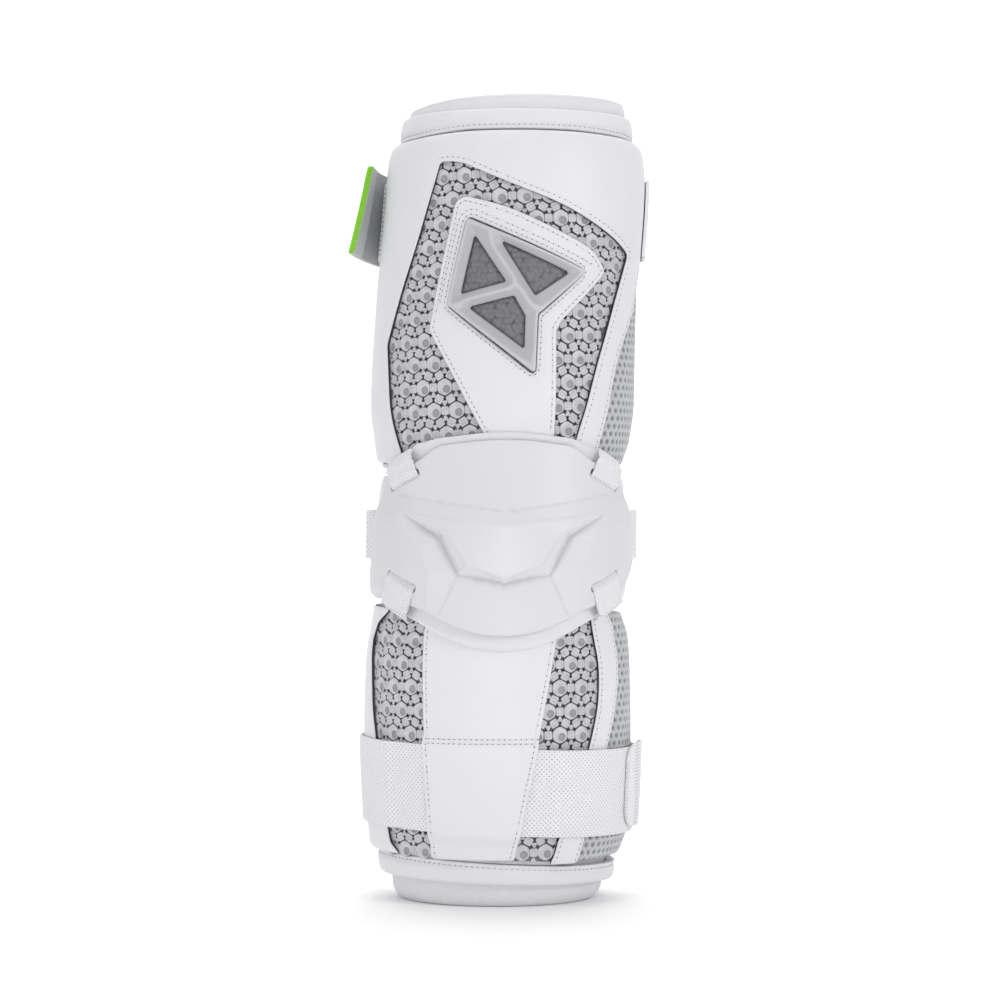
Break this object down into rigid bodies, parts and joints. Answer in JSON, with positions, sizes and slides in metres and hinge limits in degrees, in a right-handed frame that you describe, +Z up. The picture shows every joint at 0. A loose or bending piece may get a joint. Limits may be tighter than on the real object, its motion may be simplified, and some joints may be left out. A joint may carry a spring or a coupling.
{
  "type": "lacrosse arm guard",
  "caption": "Left-arm lacrosse guard: an open padded sleeve with windowed leather covers, grey lattice pads, straps and a hard elbow cap held by elastic loops.",
  "frame": {"origin": "middle of the bounding box, at the bottom edge of the wrist end that the guard stands on", "axes": "+Z up along the arm from the wrist to the shoulder end, -Y towards the elbow cap, +X towards the side with the grey dimpled gussets"},
  "size_m": [0.1504, 0.1364, 0.4],
  "materials": {
    "white_knit": "white knitted lining",
    "white_binding": "white padded binding with a stitched edge",
    "grey_lattice": "grey moulded lattice, satin",
    "white_leather": "white fine-grained synthetic leather",
    "dimpled_grey": "light grey dimpled foam",
    "dark_mesh": "dark spacer mesh",
    "silver_grey": "light grey satin moulding",
    "webbing": "white woven webbing",
    "tab_grey": "light grey tab",
    "green_binding": "bright green woven binding",
    "white_shell": "white moulded shell, satin gloss"
  },
  "bodies": {
    "root": {"inner_sleeve": "white_knit", "top_ring": "white_binding", "wrist_ring": "white_binding", "bicep_pad": "grey_lattice", "forearm_pad": "grey_lattice", "bicep_cover": "white_leather", "bicep_keel": "white_leather", "forearm_cover": "white_leather", "forearm_band": "white_leather", "forearm_tongue": "white_leather", "elbow_pad": "white_leather", "cap_flange": "white_leather", "bicep_gusset": "dimpled_grey", "forearm_gusset": "dimpled_grey", "truss_mesh": "dark_mesh", "truss_insert": "silver_grey", "bicep_strap": "webbing", "elbow_strap": "webbing", "forearm_strap": "webbing", "forearm_strap_end": "webbing", "cap_loop_upper_left": "webbing", "cap_loop_upper_right": "webbing", "cap_loop_lower_left": "webbing", "cap_loop_lower_right": "webbing", "pull_tab": "tab_grey", "tab_edge": "green_binding", "elbow_cap": "white_shell"}
  },
  "joints": []
}
